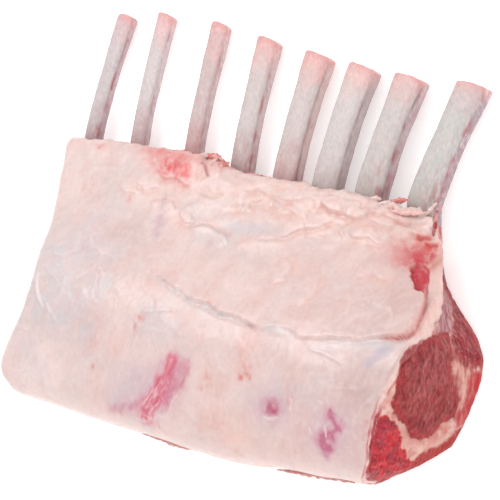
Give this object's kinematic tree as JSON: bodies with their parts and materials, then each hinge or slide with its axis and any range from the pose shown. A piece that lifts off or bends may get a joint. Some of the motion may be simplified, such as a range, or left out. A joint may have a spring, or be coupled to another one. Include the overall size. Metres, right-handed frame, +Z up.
{
  "type": "raw rack of lamb",
  "caption": "raw rack of lamb lying fat side up: a block of meat under a pale fat cap, cut across at one end to show the eye muscle, with bare trimmed ribs standing out of its long edge",
  "frame": {"origin": "centre of the rack's bounding box in X and Y, at the bottom, on the surface it lies on", "axes": "+X runs along the backbone edge towards the cut end with the large eye muscle, +Y runs from the backbone edge to the rib tips, +Z is up, on the fat side"},
  "size_m": [0.2254, 0.1868, 0.0518],
  "materials": {
    "fat": "moist pale pink fat with a soft sheen",
    "eye_meat": "moist cut dark red muscle with fine grain and pale marbling",
    "dark_meat": "moist cut deep red muscle",
    "rib_meat": "moist red muscle with pale streaks of fat",
    "bone": "pale grey-pink scraped bone"
  },
  "bodies": {
    "root": {"fat_cap": "fat", "eye_muscle": "eye_meat", "chine_muscle": "dark_meat", "rib_meat": "rib_meat", "rib_1": "bone", "rib_2": "bone", "rib_3": "bone", "rib_4": "bone", "rib_5": "bone", "rib_6": "bone", "rib_7": "bone", "rib_8": "bone"}
  },
  "joints": []
}
